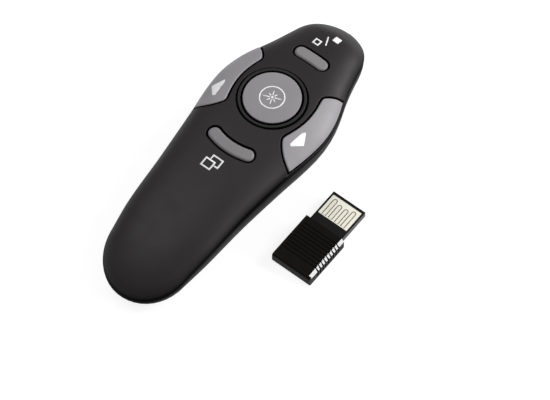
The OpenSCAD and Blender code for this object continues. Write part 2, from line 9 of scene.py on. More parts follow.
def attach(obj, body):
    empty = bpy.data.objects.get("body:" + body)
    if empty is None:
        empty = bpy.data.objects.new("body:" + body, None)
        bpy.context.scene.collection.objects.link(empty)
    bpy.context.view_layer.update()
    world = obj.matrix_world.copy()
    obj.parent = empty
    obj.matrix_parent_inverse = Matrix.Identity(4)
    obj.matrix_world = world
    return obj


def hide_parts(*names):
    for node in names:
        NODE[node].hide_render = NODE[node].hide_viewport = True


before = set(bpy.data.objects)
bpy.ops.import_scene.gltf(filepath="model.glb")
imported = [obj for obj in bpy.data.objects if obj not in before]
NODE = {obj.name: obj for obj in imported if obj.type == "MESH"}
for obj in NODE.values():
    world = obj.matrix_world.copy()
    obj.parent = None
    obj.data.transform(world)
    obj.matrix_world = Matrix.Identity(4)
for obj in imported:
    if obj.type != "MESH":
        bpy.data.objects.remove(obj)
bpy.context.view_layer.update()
MM = 0.001
PI = math.pi

# ---------------------------------------------------------------- sizes, as in part.scad (mm)
L, W, H = 112.0, 40.0, 25.0  # handset
HL, HW = L / 2, W / 2
WALL = 1.4  # thickness of the covers
GAP = 0.6  # free space round each button
PROUD = 0.2  # height of the buttons above the crown
TAIL_TIP, NOSE_TIP = 0.28 * H, 0.38 * H
WIDE_ENDS, TOP_ENDS = (13, 11), (16, 9)  # length of the rounding at tail and nose
LASER_Y, PILL_Y, BEAN_Y = 17.0, 36.3, -3.85
LASER_R, RING_R, RING_GAP = 8.85, 10.7, 0.3
PILL_BACK, PILL_LEN, PILL_WIDE = 70, 12.9, 5.15  # radius of its bend, length, width
BEAN_BACK, BEAN_LEN, BEAN_WIDE = 20, 18, 5.1
SIDE_CUT = 0.8 * H  # lower end of the side buttons
SIDE_OPEN = SIDE_CUT - 0.75  # lower end of their openings
BEAM_Z, BORE_R = 0.38 * H, 2.75  # laser bore in the nose
REC_X, REC_Y = 32.95, -16.1  # receiver: middle and rear end
REC_W, REC_L, REC_H = 14.2, 16.9, 4.4
PLUG_LEN, PLUG_TOP = 12, 3.35
FACE_LEN, FACE_RIM = 7.6, 0.95  # contact face of the plug
RIB_PITCH, RIB_GAP, RIB_CUTS = 1.27, 0.55, 9

# stations of the body: place along the half length, half width, crown, parting line, squareness
WIDTH, CROWN, PART, SQUARE = 1, 2, 3, 4
SECT = np.array([
    [-1.00, 0.660, 0.608, 0.280, 2.2],
    [-0.80, 0.690, 0.694, 0.436, 2.3],
    [-0.59, 0.765, 0.812, 0.572, 2.5],
    [-0.30, 0.825, 0.928, 0.660, 2.7],
    [0.00, 0.920, 0.988, 0.712, 2.9],
    [0.18, 0.988, 1.000, 0.736, 3.0],
    [0.32, 1.000, 0.996, 0.744, 3.0],
    [0.46, 0.925, 0.976, 0.736, 3.0],
    [0.64, 0.735, 0.936, 0.708, 2.8],
    [0.79, 0.612, 0.876, 0.660, 2.5],
    [0.89, 0.550, 0.808, 0.584, 2.3],
    [1.00, 0.530, 0.720, 0.380, 2.2]])


# ---------------------------------------------------------------- skin of the body
def at(y, column):
    """Value of one column of the stations at y, by a smooth curve through them."""
    u = np.clip(np.asarray(y, float) / HL, -1, 1)
    x, v = SECT[:, 0], SECT[:, column]
    n = len(x)
    i = np.clip(np.searchsorted(x, u, side="left") - 1, 0, n - 2)
    lo, hi = np.maximum(np.arange(n) - 1, 0), np.minimum(np.arange(n) + 1, n - 1)
    m = (v[hi] - v[lo]) / (x[hi] - x[lo])
    h = x[i + 1] - x[i]
    t = (u - x[i]) / h
    return ((2 * t**3 - 3 * t**2 + 1) * v[i] + (t**3 - 2 * t**2 + t) * m[i] * h
            + (3 * t**2 - 2 * t**3) * v[i + 1] + (t**3 - t**2) * m[i + 1] * h)


def cap(d, r):
    """Quarter round that rises from 0 to 1 over the length r."""
    return np.sqrt(np.maximum(0, 1 - (1 - np.minimum(np.maximum(d, 0), r) / r) ** 2))


def ends(y, tail, nose):
    """Rounding of both ends of the body: 1 between them, 0 at the very ends."""
    return cap(y + HL, tail) * cap(HL - y, nose)


def half_w(y):
    return np.maximum(HW * at(y, WIDTH) * ends(y, *WIDE_ENDS), 1e-7)


def z_top(y):
    tip = np.where(np.asarray(y) < 0, TAIL_TIP, NOSE_TIP)
    return tip + (H * at(y, CROWN) - tip) * ends(y, *TOP_ENDS)


def z_part(y):
    return H * at(y, PART)


def surf(a, y):
    """Point of the outer skin at section angle a, 0 at +X and pi at -X."""
    c, s = np.cos(a), np.maximum(np.sin(a), 0)
    x = half_w(y) * np.sign(c) * np.abs(c) ** (2 / at(y, SQUARE))
    z = z_part(y) + (z_top(y) - z_part(y)) * s
    return np.stack([x, np.broadcast_to(y, x.shape), z], -1)


def normal(a, y):
    """Outward normal of the skin, from two short steps along it."""
    da, dy = 1e-4, 0.01
    end = HL - 1e-4
    along_a = surf(np.clip(a + da, 0, PI), y) - surf(np.clip(a - da, 0, PI), y)
    along_y = surf(a, np.clip(y + dy, -end, end)) - surf(a, np.clip(y - dy, -end, end))
    n = np.cross(along_y, along_a)
    n /= np.maximum(np.linalg.norm(n, axis=-1, keepdims=True), 1e-12)
    return n * np.where(n[..., 2] < -0.3, -1, 1)[..., None]


def angle(x, y):
    """Section angle of the crown over (x, y); points past the edge land on the edge."""
    q = np.clip(np.abs(x) / half_w(y), 0, 1) ** (at(y, SQUARE) / 2)
    a = np.arccos(np.clip(q, 0, 1))
    return np.where(np.asarray(x) >= 0, a, PI - a)


def crown(x, y, h=0.0):
    """Point at height h above the crown over (x, y)."""
    a = angle(x, y)
    return surf(a, y) + normal(a, y) * np.asarray(h)[..., None]


# ---------------------------------------------------------------- outlines in plan (mm)
def arc(cx, cy, r, angles):
    """Points round a centre, angles measured from +Y towards +X."""
    return [(cx + r * math.sin(f), cy + r * math.cos(f)) for f in angles]


def capsule(mid, back, length, width, way, e=0.0, n=16):
    """Slot with round ends along an arc of radius back, grown by e."""
    a = (length - width) / 2 / back
    w = width / 2 + e
    turn = [PI * i / n for i in range(1, n)]
    end_x, end_y = back * math.sin(a), back * math.cos(a)
    pts = arc(0, 0, back + w, [-a + a * i / n for i in range(2 * n + 1)])
    pts += arc(end_x, end_y, w, [a + q for q in turn])
    pts += arc(0, 0, back - w, [a - a * i / n for i in range(2 * n + 1)])
    pts += arc(-end_x, end_y, w, [PI + q - a for q in turn])
    p = np.array(pts)
    p[:, 1] = mid - way * back + way * p[:, 1]
    return p if way > 0 else p[::-1]


def pill(e=0.0):
    return capsule(PILL_Y, PILL_BACK, PILL_LEN, PILL_WIDE, 1, e)


def bean(e=0.0):
    return capsule(BEAN_Y, BEAN_BACK, BEAN_LEN, BEAN_WIDE, -1, e)


def circle(r, cy=LASER_Y, n=128):
    t = np.arange(n) * 2 * PI / n
    return np.stack([r * np.cos(t), cy + r * np.sin(t)], -1)


# a side button is an oval with a round bite towards the ring, both measured out from EYE
OVAL, OVAL_A, OVAL_B = np.array([21, LASER_Y]), 12.85, 15.9
BITE, BITE_R = np.array([-9.8, LASER_Y + 1.4]), 22.2
EYE = np.array([17, LASER_Y])
FAR = 60  # stands for a ray that misses the bite
BLEND = 9  # how sharply oval and bite meet
SOFTEN = 0.75  # smoothing of the corners along the outline


def side_outline(e=0.0, n=360, sign=1):
    """Side button's outline grown by e; sign -1 gives the left one."""
    f = np.arange(n) * 2 * PI / n
    c, s = np.cos(f), np.sin(f)
    p = (EYE - OVAL) / np.array([OVAL_A, OVAL_B])
    dx, dy = c / OVAL_A, s / OVAL_B
    qa, qb, qc = dx**2 + dy**2, dx * p[0] + dy * p[1], p @ p - 1
    to_oval = (-qb + np.sqrt(qb * qb - qa * qc)) / qa
    v = EYE - BITE
    b = c * v[0] + s * v[1]
    q = b * b - (v @ v - BITE_R**2)
    to_bite = np.where((q > 0) & (b < 0), -b - np.sqrt(np.maximum(q, 0)), FAR)
    r = (to_oval**-BLEND + to_bite**-BLEND) ** (-1 / BLEND)
    pts = EYE + np.stack([r * c, r * s], -1)
    # even spacing, then softened corners
    seg = np.linalg.norm(np.roll(pts, -1, 0) - pts, axis=1)
    run = np.concatenate([[0], np.cumsum(seg)])
    even = np.arange(n) * run[-1] / n
    pts = np.stack([np.interp(even, run, np.append(pts[:, i], pts[0, i])) for i in (0, 1)], -1)
    near = np.arange(-12, 13)
    weight = np.exp(-0.5 * (near * run[-1] / n / SOFTEN) ** 2)
    pts = sum(np.roll(pts, i, 0) * v for i, v in zip(near, weight / weight.sum()))
    # true offset along the outline's own normal
    t = np.roll(pts, -1, 0) - np.roll(pts, 1, 0)
    t /= np.linalg.norm(t, axis=1, keepdims=True)
    pts = pts + e * np.stack([t[:, 1], -t[:, 0]], -1)
    return pts if sign > 0 else (pts * [-1, 1])[::-1]


def left_outline(e=0.0):
    return side_outline(e, sign=-1)


def inside(poly, pts):
    """Whether each point lies inside the outline."""
    x, y = pts[:, 0], pts[:, 1]
    r = np.zeros(len(pts), bool)
    x0, y0 = poly[:, 0], poly[:, 1]
    x1, y1 = np.roll(x0, -1), np.roll(y0, -1)
    for i in range(len(poly)):
        crosses = (y0[i] > y) != (y1[i] > y)
        rise = (y1[i] - y0[i]) or 1e-12
        r ^= crosses & (x < (x1[i] - x0[i]) * (y - y0[i]) / rise + x0[i])
    return r


def dist(poly, pts):
    """Distance of each point from the outline."""
    a, b = poly, np.roll(poly, -1, 0)
    best = np.full(len(pts), 1e9)
    for i in range(len(poly)):
        d = b[i] - a[i]
        t = np.clip(((pts - a[i]) @ d) / max(d @ d, 1e-12), 0, 1)
        best = np.minimum(best, np.linalg.norm(pts - (a[i] + t[:, None] * d), axis=1))
    return best


def round_off(d, r):
    """How far a rounded edge of radius r falls below the face at distance d from it."""
    d = np.minimum(np.maximum(d, 0), r)
    return r - np.sqrt(np.maximum(r * r - (r - d) ** 2, 0))


def grid_over(loop, step):
    """Points of a square grid over a loop's box."""
    lo, hi = loop.min(0), loop.max(0)
    gx, gy = np.meshgrid(np.arange(lo[0], hi[0], step), np.arange(lo[1], hi[1], step), indexing="ij")
    return np.stack([gx.ravel(), gy.ravel()], -1)


# ---------------------------------------------------------------- meshes
def make_mesh(name, verts, faces, mat, normals=None, painted_shade_from=None):
    """Smooth mesh from mm; the faces from the given index on take a near black painted shade, which stands in
    for the shadow in the gaps.
    """
    me = bpy.data.meshes.new(name)
    me.from_pydata([tuple(v) for v in np.asarray(verts, float) * MM], [],
                   [tuple(int(i) for i in f) for f in faces])
    if painted_shade_from is not None:
        me.polygons.foreach_set("material_index", [int(i >= painted_shade_from) for i in range(len(me.polygons))])
    me.validate()
    me.polygons.foreach_set("use_smooth", [True] * len(me.polygons))
    if normals is not None:
        me.normals_split_custom_set_from_vertices([tuple(v) for v in normals])
    o = bpy.data.objects.new(name, me)
    bpy.context.scene.collection.objects.link(o)
    me.materials.append(mat)
    if painted_shade_from is not None:
        me.materials.append(M["gap"])
    return o


def shell(outer, inner, tris):
    """Closed solid from two layers of one triangulation, with walls on every open edge."""
    n = len(outer)
    edges = {(t[i], t[(i + 1) % 3]): 1 for t in tris for i in range(3)}
    rim = [e for e in edges if (e[1], e[0]) not in edges]
    faces = [tuple(t) for t in tris] + [(t[2] + n, t[1] + n, t[0] + n) for t in tris]
    # wall vertices are doubled, so that the edge stays crisp
    ids = sorted({i for e in rim for i in e})
    pos = {v: k for k, v in enumerate(ids)}
    m = len(ids)
    for a, b in rim:
        pa, pb = 2 * n + pos[a], 2 * n + pos[b]
        faces.append((pb, pa, pa + m, pb + m))
    return np.concatenate([outer, inner, outer[ids], inner[ids]]), faces


def skin_piece(name, mat, outer, inner, tris, normals, fall):
    """Shell that faces outwards; where its edge doesn't fall away it keeps the body's normals."""
    q = outer[tris]
    g = np.cross(q[:, 1] - q[:, 0], q[:, 2] - q[:, 0])
    if (g * normals[tris[:, 0]]).sum() < 0:
        tris = tris[:, ::-1]
    verts, faces = shell(outer, inner, tris.tolist())
    custom = np.zeros_like(verts)
    flat = fall < 1e-6
    custom[:len(outer)][flat] = normals[flat]
    # walls and inner faces take the near black painted shade of the gaps
    return make_mesh(name, verts, faces, mat, normals=custom, painted_shade_from=len(tris))


def triangulate(points, loops):
    """Constrained triangulation of (p, q) points with closed loops kept as edges."""
    co, edges = [Vector((float(p[0]), float(p[1]))) for p in points], []
    for loop in loops:
        k = len(co)
        co += [Vector((float(p[0]), float(p[1]))) for p in loop]
        edges += [(k + i, k + (i + 1) % len(loop)) for i in range(len(loop))]
    v, _, f, *_ = delaunay_2d_cdt(co, edges, [], 0, 1e-5)
    return np.array([(p.x, p.y) for p in v]), np.array([t for t in f if len(t) == 3])


# The skin is meshed unrolled: section angle times P_SCALE across, y along.
P_SCALE = 55.0 / PI
RINGS = [0.0, 0.04, 0.10, 0.18, 0.28, 0.42]  # rows of points beside an opening
COVER_EDGE = 0.28  # rounding at the openings
LINE_EDGE = 0.3  # rounding at the parting line
GRID_Y, GRID_A = 170, 84
NOSE_RUN = 12  # length over which the grid is drawn back to the bore
SPAN = 20  # no opening reaches further than this from its middle
CLEAR = 0.12  # grid points keep this far from the rows


def unroll(loop, z=None):
    """Loop in plan brought to the unrolled plane, ended below at height z."""
    x, y = loop[:, 0], loop[:, 1]
    a = angle(x, y)
    if z is not None:
        low = np.arcsin(np.clip((z - z_part(y)) / (z_top(y) - z_part(y)), 0, 1))
        a = np.where(x > 0, np.maximum(a, low), np.minimum(a, PI - low))
    return np.stack([a * P_SCALE, y], -1)


def nose_end(a):
    """How far the skin runs at section angle a before the laser bore ends it."""
    lo, hi = HL - 6, HL - 1e-6
    for _ in range(40):
        y = (lo + hi) / 2
        p = surf(np.array(a), np.array(y))
        if math.hypot(p[0], p[2] - BEAM_Z) > BORE_R:
            lo = y
        else:
            hi = y
    return lo


def cover_grid():
    """Section angles and places along the body for the cover's points."""
    ys = -HL * np.cos(PI * np.arange(GRID_Y + 1) / GRID_Y)
    edge = np.array([0, 0.008, 0.018, 0.032, 0.05, 0.075])
    mid = np.linspace(0.105, PI - 0.105, GRID_A)
    aa = np.concatenate([edge, mid, PI - edge[::-1]])
    y_end = np.array([nose_end(a) for a in aa])
    a, y = np.meshgrid(aa, ys, indexing="ij")
    draw = np.where(y > HL - NOSE_RUN, (y - (HL - NOSE_RUN)) / NOSE_RUN, 0)
    y = y - draw * (HL - y_end[:, None])
    return a.ravel(), y.ravel()


def top_cover(mat):
    ring_hole = [unroll(circle(RING_R + RING_GAP + d)) for d in RINGS]
    openings = [[unroll(f(d)) for d in RINGS] for f in (pill, bean)] + [ring_hole]
    openings += [[unroll(f(d), SIDE_OPEN - d) for d in RINGS] for f in (side_outline, left_outline)]
    grid_a, grid_y = cover_grid()
    grid = np.stack([grid_a * P_SCALE, grid_y], -1)
    keep = np.ones(len(grid), bool)
    for rows in openings:
        last = rows[-1]
        near = np.nonzero(np.abs(grid_y - last[:, 1].mean()) < SPAN)[0]
        out = inside(last, grid[near]) | (dist(last, grid[near]) < CLEAR)
        keep[near[out]] = False
    keep |= (grid_a < 1e-9) | (grid_a > PI - 1e-9)
    v, t = triangulate(grid[keep], [loop for rows in openings for loop in rows])
    a, y = np.clip(v[:, 0] / P_SCALE, 0, PI), np.clip(v[:, 1], -HL, HL)
    p = surf(a, y)
    mid_a, mid_y = a[t].mean(1), y[t].mean(1)
    mid = np.stack([mid_a * P_SCALE, mid_y], -1)
    solid = np.ones(len(t), bool)
    for rows in openings:
        solid &= ~inside(rows[0], mid)
    q = surf(mid_a, mid_y)
    solid &= ~((mid_y > HL - 3) & (np.hypot(q[:, 0], q[:, 2] - BEAM_Z) < BORE_R - 0.05))
    t = t[solid]
    d = np.minimum.reduce([dist(rows[0], v) for rows in openings])
    line_edge = LINE_EDGE * np.minimum(1, ends(y, *WIDE_ENDS) + 1e-3)
    fall = np.maximum(round_off(d, COVER_EDGE), round_off(p[:, 2] - z_part(y), line_edge))
    nn = normal(a, y)
    outer = p - nn * fall[:, None]
    inner = p - nn * (WALL * np.minimum(1, half_w(y) / 3))[:, None]
    return skin_piece("top_cover_skin", mat, outer, inner, t, nn, fall)


def key(name, outline, mat, cut=None, height=PROUD, deep=1.6, edge=0.4):
    """Button face that follows the crown inside an outline, with a rounded edge."""
    rows = [edge * k for k in (0, 0.07, 0.18, 0.35, 0.56, 0.78, 1.04)]
    loops = [unroll(outline(-GAP - d), None if cut is None else cut + d) for d in rows]
    pts = grid_over(loops[-1], 0.5)
    pts = pts[inside(loops[-1], pts)]
    pts = pts[dist(loops[-1], pts) > 0.2]
    v, t = triangulate(pts, loops)
    t = t[inside(loops[0], v[t].mean(1))]
    a, y = v[:, 0] / P_SCALE, v[:, 1]
    p = surf(a, y)
    fall = round_off(dist(loops[0], v), edge)
    nn = normal(a, y)
    outer = p + nn * (height - fall)[:, None]
    low = p - nn * deep
    if cut is not None:
        low[:, 2] = np.maximum(low[:, 2], cut)
    return skin_piece(name, mat, outer, low, t, nn, fall)


def lathe(name, prof, mat, seg=144):
    """Profile of (radius, height) turned round the laser button's axis."""
    turn = np.arange(seg) * 2 * PI / seg
    verts = [(r * math.cos(a), LASER_Y + r * math.sin(a), z) for r, z in prof for a in turn]
    faces = []
    for i in range(len(prof) - 1):
        for j in range(seg):
            k = (j + 1) % seg
            faces.append((i * seg + j, i * seg + k, (i + 1) * seg + k, (i + 1) * seg + j))
    return make_mesh(name, verts, faces, mat)


def bend(p, b, q, s):
    """Point at s on the curve from p to q that is pulled towards the corner b."""
    return (1 - s) ** 2 * p + 2 * s * (1 - s) * b + s * s * q


def arc_profile(pts, r, n=5):
    """Profile with its inner corners rounded to r."""
    out = [pts[0]]
    for a, b, c in zip(pts, pts[1:], pts[2:]):
        a, b, c = map(np.array, (a, b, c))
        u, w = a - b, c - b
        lu, lw = np.linalg.norm(u), np.linalg.norm(w)
        k = min(r, lu * 0.45, lw * 0.45)
        p, q = b + u / lu * k, b + w / lw * k
        out += [tuple(bend(p, b, q, i / n)) for i in range(n + 1)]
    return out + [pts[-1]]


def dense(loop, step):
    """Loop with points at most about two steps apart."""
    pts = []
    for p, q in zip(loop, np.roll(loop, -1, 0)):
        k = max(1, int(np.linalg.norm(q - p) / step))
        pts += [p + (q - p) * i / k for i in range(k)]
    return np.array(pts)


def in_shape(loops, pts):
    """Whether points lie inside the first loop and in none of the others."""
    ok = inside(loops[0], pts)
    for hole in loops[1:]:
        ok &= ~inside(hole, pts)
    return ok


def sign_on(name, shapes, mat, place, step=0.35):
    """Printed mark: filled shapes in plan, outer loop first, laid on a surface by place(x, y)."""
    verts, faces = [], []
    for shape in shapes:
        loops = [dense(loop, step) for loop in shape]
        pts = grid_over(np.array(shape[0], float), step)
        pts = pts[in_shape(loops, pts)]
        for loop in loops:
            pts = pts[dist(loop, pts) > 0.08]
        v, t = triangulate(pts, loops)
        t = t[in_shape(loops, v[t].mean(1))]
        k = len(verts)
        p = place(v[:, 0], v[:, 1])
        q = p[t]
        up = np.cross(q[:, 1] - q[:, 0], q[:, 2] - q[:, 0])[:, 2]
        t = np.where((up < 0)[:, None], t[:, ::-1], t)
        verts += [tuple(x) for x in p]
        faces += [tuple(x + k for x in tri) for tri in t.tolist()]
    o = make_mesh(name, verts, faces, mat)
    m = o.modifiers.new("thin", "SOLIDIFY")
    m.thickness = 0.03 * MM
    m.offset = -1
    return o


# ---------------------------------------------------------------- materials
def node(nt, kind, **kw):
    n = nt.nodes.new(kind)
    for k, v in kw.items():
        setattr(n, k, v)
    return n


def noise(nt, coords, scale, detail=2):
    n = node(nt, "ShaderNodeTexNoise")
    n.inputs["Scale"].default_value = scale
    n.inputs["Detail"].default_value = detail
    nt.links.new(coords.outputs["Object"], n.inputs["Vector"])
    return n.outputs["Fac"]


def remap(nt, value, lo, hi, new_lo, new_hi):
    n = node(nt, "ShaderNodeMapRange")
    for socket, v in (("From Min", lo), ("From Max", hi), ("To Min", new_lo), ("To Max", new_hi)):
        n.inputs[socket].default_value = v
    nt.links.new(value, n.inputs["Value"])
    return n.outputs["Result"]


def combine(nt, how, a, b):
    """Math node over a value or output and an output."""
    n = node(nt, "ShaderNodeMath", operation=how)
    if isinstance(a, float):
        n.inputs[0].default_value = a
    else:
        nt.links.new(a, n.inputs[0])
    nt.links.new(b, n.inputs[1])
    return n.outputs[0]


def material(name, color, rough=0.5, metal=0.0, spec=0.5, grain=0.0, mottle=0.06, mottle_scale=60,
             rough_var=0.08, coat=0.0, trans=0.0, painted_side_shade=None):
    """Plain surface with slight mottling, uneven roughness and a fine grain; if asked, painted shade on its
    upright walls.
    """
    m = bpy.data.materials.new(name)
    m.use_nodes = True
    nt = m.node_tree
    b = nt.nodes["Principled BSDF"]
    coords = node(nt, "ShaderNodeTexCoord")
    b.inputs["Specular IOR Level"].default_value = spec
    shade = remap(nt, noise(nt, coords, mottle_scale, 3), 0.3, 0.7, 1 - mottle, 1 + mottle)
    if painted_side_shade is not None:
        # painted shade: upright walls of the shell are darkened below its crown, in colour and in specular
        parts = node(nt, "ShaderNodeSeparateXYZ")
        nt.links.new(coords.outputs["Normal"], parts.inputs[0])
        side = remap(nt, parts.outputs["Z"], 0.3, 0.78, painted_side_shade, 1)
        shade = combine(nt, "MULTIPLY", shade, side)
        nt.links.new(combine(nt, "MULTIPLY", spec, side), b.inputs["Specular IOR Level"])
    tint = node(nt, "ShaderNodeVectorMath", operation="SCALE")
    tint.inputs[0].default_value = color
    nt.links.new(shade, tint.inputs["Scale"])
    nt.links.new(tint.outputs["Vector"], b.inputs["Base Color"])
    uneven = remap(nt, noise(nt, coords, mottle_scale * 5), 0, 1, rough - rough_var, rough + rough_var)
    nt.links.new(uneven, b.inputs["Roughness"])
    b.inputs["Metallic"].default_value = metal
    b.inputs["Coat Weight"].default_value = coat
    b.inputs["Coat Roughness"].default_value = 0.2
    b.inputs["Transmission Weight"].default_value = trans
    if grain > 0:
        bump = node(nt, "ShaderNodeBump")
        bump.inputs["Strength"].default_value = grain
        bump.inputs["Distance"].default_value = 0.05 * MM
        nt.links.new(noise(nt, coords, 3000), bump.inputs["Height"])
        nt.links.new(bump.outputs["Normal"], b.inputs["Normal"])
    return m


M = {
    # handset
    # soft black of the top cover, with painted shade on its upright walls down to 0.05 of colour and specular
    "soft": material("soft_black", (0.0155, 0.0126, 0.0138), spec=0.34, grain=0.25, mottle=0.10,
                     mottle_scale=45, painted_side_shade=0.05),
    # darker copy of the soft black: painted shade for the bottom and battery covers, which sit in shadow
    "low": material("soft_black_painted_shade", (0.0032, 0.0028, 0.0030), spec=0.06, grain=0.2, mottle=0.10,
                    mottle_scale=45),
    # near black painted shade for the walls and floors of the gaps round the buttons, where shadow falls
    "gap": material("gap_painted_shade", (0.002, 0.002, 0.002), rough=0.9, spec=0.05, mottle=0.1),
    "ring": material("ring_black", (0.016, 0.016, 0.016), rough=0.45, spec=0.3, grain=0.1),
    "pill": material("pill_grey", (0.225, 0.215, 0.222), spec=0.35, grain=0.15, mottle=0.05),
    "key": material("key_grey", (0.272, 0.262, 0.275), spec=0.35, grain=0.15, mottle=0.05),
    "side": material("side_grey", (0.305, 0.295, 0.31), rough=0.48, spec=0.4, grain=0.12),
    "white": material("print_white", (0.92, 0.92, 0.93), spec=0.3, mottle=0.02),
    "bezel": material("bezel", (0.55, 0.55, 0.57), rough=0.15, metal=1.0, mottle=0.03),
    "lens": material("lens_red", (0.35, 0.02, 0.02), rough=0.12, spec=0.6, trans=0.3, mottle=0.03),
    # inside
    "green": material("board_green", (0.02, 0.13, 0.05), rough=0.35, mottle=0.15, mottle_scale=300),
    "chip": material("chip_black", (0.02, 0.02, 0.022), grain=0.2),
    "steel": material("steel", (0.62, 0.62, 0.64), rough=0.28, metal=1.0, mottle=0.05, mottle_scale=400),
    "brass": material("brass", (0.72, 0.50, 0.20), rough=0.25, metal=1.0, mottle_scale=300),
    "cell": material("cell_skin", (0.07, 0.16, 0.34), rough=0.3, coat=0.3, mottle=0.05),
    "red": material("red_wire", (0.55, 0.02, 0.015), rough=0.45, mottle=0.05, mottle_scale=400),
    "wire": material("black_wire", (0.015, 0.015, 0.016), rough=0.45, mottle=0.05, mottle_scale=400),
    "tan": material("part_tan", (0.42, 0.30, 0.18), rough=0.45, mottle=0.2, mottle_scale=800),
    # receiver
    "rec": material("receiver_black", (0.0085, 0.0070, 0.0067), rough=0.35, spec=0.03, grain=0.08,
                    mottle=0.15, mottle_scale=120),
    "rib": material("rib_ends", (0.006, 0.005, 0.005), rough=0.2, spec=1.0, grain=0.04, mottle=0.15,
                    mottle_scale=120, rough_var=0.04),
    "plug": material("plug_black", (0.006, 0.006, 0.006), rough=0.3, spec=0.2, mottle_scale=200),
    "cream": material("tongue_cream", (0.93, 0.91, 0.80), rough=0.45, spec=0.35, mottle=0.03,
                      mottle_scale=300),
    "gold": material("pad_pale", (0.88, 0.84, 0.70), rough=0.38, mottle=0.05, mottle_scale=400),
    "line": material("pad_line", (0.12, 0.09, 0.06), rough=0.6, mottle=0.2, mottle_scale=500),
}
FINISH = {
    "soft": ["top_cover"],
    # bottom and battery covers take the darker painted shade copy of the soft black
    "low": ["bottom_cover", "battery_cover"],
    "ring": ["button_ring"],
    "key": ["laser_button"],
    "pill": ["screen_button", "window_button"],
    "side": ["prev_button", "next_button"],
    "chip": ["laser_plunger", "prev_plunger", "next_plunger", "screen_plunger", "window_plunger",
             "radio_chip", "receiver_chip"],
    "steel": ["tact_switches", "crystal_can", "contact_coils", "contact_bridge", "contact_tabs",
              "case_screws"],
    "green": ["circuit_board"],
    "tan": ["chip_parts"],
    "cell": ["left_cell", "right_cell"],
    "red": ["red_lead", "laser_leads"],
    "wire": ["black_lead"],
    "brass": ["laser_module"],
    "bezel": ["laser_bezel"],
    "lens": ["laser_lens"],
    "rec": ["receiver_shell", "receiver_end"],
    "plug": ["receiver_plug"],
    "cream": ["receiver_tongue"],
    "gold": ["receiver_pads"],
}
for finish, names in FINISH.items():
    for name in names:
        mesh = NODE[name].data
        mesh.materials.clear()
        mesh.materials.append(M[finish])
        mesh.polygons.foreach_set("use_smooth", [True] * len(mesh.polygons))
        mesh.set_sharp_from_angle(angle=math.radians(28))


# ---------------------------------------------------------------- pieces over the CAD nodes
def stand_in(o, cad_node, body):
    """Let a piece take the place of a CAD node and ride on its body."""
    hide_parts(cad_node)
    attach(o, body)


stand_in(top_cover(M["soft"]), "top_cover", "handset")

KEY_UP = PROUD - 0.03
for name, outline, body in [("screen_button", pill, "screen_key"), ("window_button", bean, "window_key")]:
    face = key(name + "_face", outline, M["pill"], height=KEY_UP, edge=0.75)
    stand_in(face, name, body)
for name, outline, body in [("next_button", side_outline, "next_key"),
                            ("prev_button", left_outline, "prev_key")]:
    face = key(name + "_face", outline, M["side"], SIDE_CUT, height=KEY_UP, deep=1.0)
    stand_in(face, name, body)

# round button: a low dome over a skirt with a flange, which is wider than the hole in the ring; the skirt
# takes painted shade black for the shadow in the gap round the dome
AXIS = 0.001
DOME = [(0, H + 0.265), (LASER_R - 5, H + 0.25), (LASER_R - 2.5, H + 0.21), (LASER_R, H + 0.12)]
FACE_LOW = H - 0.35
SHELF = 0.9 * H  # underside of the trim ring
FLANGE_TOP, FLANGE_LOW, FLANGE_R = SHELF - 0.15, SHELF - 1.1, LASER_R + 0.9
STEM_R, STEM_LOW = 2, 0.836 * H
button_face = [(AXIS, DOME[0][1])] + DOME[1:] + [(LASER_R, FACE_LOW)]
button_skirt = [(LASER_R, FACE_LOW), (LASER_R, FLANGE_TOP), (FLANGE_R, FLANGE_TOP), (FLANGE_R, FLANGE_LOW),
                (STEM_R, FLANGE_LOW), (STEM_R, STEM_LOW), (AXIS, STEM_LOW)]
for name, prof, mat in [("laser_button_face", button_face, "key"),
                        ("laser_button_skirt", button_skirt, "gap")]:
    o = lathe(name, arc_profile(prof, 0.3)[::-1], M[mat])
    stand_in(o, "laser_button", "laser_key")

# trim ring: a raised band on a flat base; the base takes painted shade black for the shadow in the gap below
# the band
BAND_IN, BAND_OUT = LASER_R + 0.75, RING_R - 0.3
BAND_TOP, BAND_LOW, STEP = H - 0.05, H - 0.5, H - 1.2
BASE_IN = LASER_R + 0.5
band = [(BAND_IN, BAND_LOW), (BAND_IN, BAND_TOP), (BAND_OUT, BAND_TOP), (BAND_OUT, BAND_LOW)]
base = [(BAND_IN, BAND_LOW), (BAND_IN, STEP), (BASE_IN, STEP), (BASE_IN, SHELF), (RING_R, SHELF),
        (RING_R, STEP), (BAND_OUT, STEP), (BAND_OUT, BAND_LOW)]
for name, prof, mat in [("button_ring_band", arc_profile(band, 0.2), "ring"),
                        ("button_ring_base", base[::-1], "gap")]:
    stand_in(lathe(name, prof, M[mat]), "button_ring", "handset")


# ---------------------------------------------------------------- printed marks
INK = 0.03  # height of print above its surface


def on_crown(h):
    return lambda x, y: crown(x, y, np.full(np.shape(x), h))


def on_dome(x, y):
    z = np.interp(np.hypot(x, y - LASER_Y), *zip(*DOME))
    return np.stack([x, y, z + INK], -1)


def on_contacts(x, y):
    return np.stack([x, y, np.full(len(x), PLUG_TOP + 0.05)], -1)


def rounded(pts, r=0.25, n=5):
    """Polygon with its corners rounded by r along each side."""
    out, k = [], len(pts)
    for i in range(k):
        a, b, c = (np.array(pts[(i + j) % k], float) for j in (-1, 0, 1))
        p = b + (a - b) / np.linalg.norm(a - b) * r
        q = b + (c - b) / np.linalg.norm(c - b) * r
        out += [bend(p, b, q, s) for s in np.linspace(0, 1, n)]
    return np.array(out)


def box(x0, x1, y0, y1):
    return np.array([(x0, y0), (x1, y0), (x1, y1), (x0, y1)])


def square_frame(x0, x1, y0, y1, t=0.5):
    return box(x0, x1, y0, y1), box(x0 + t, x1 - t, y0 + t, y1 - t)


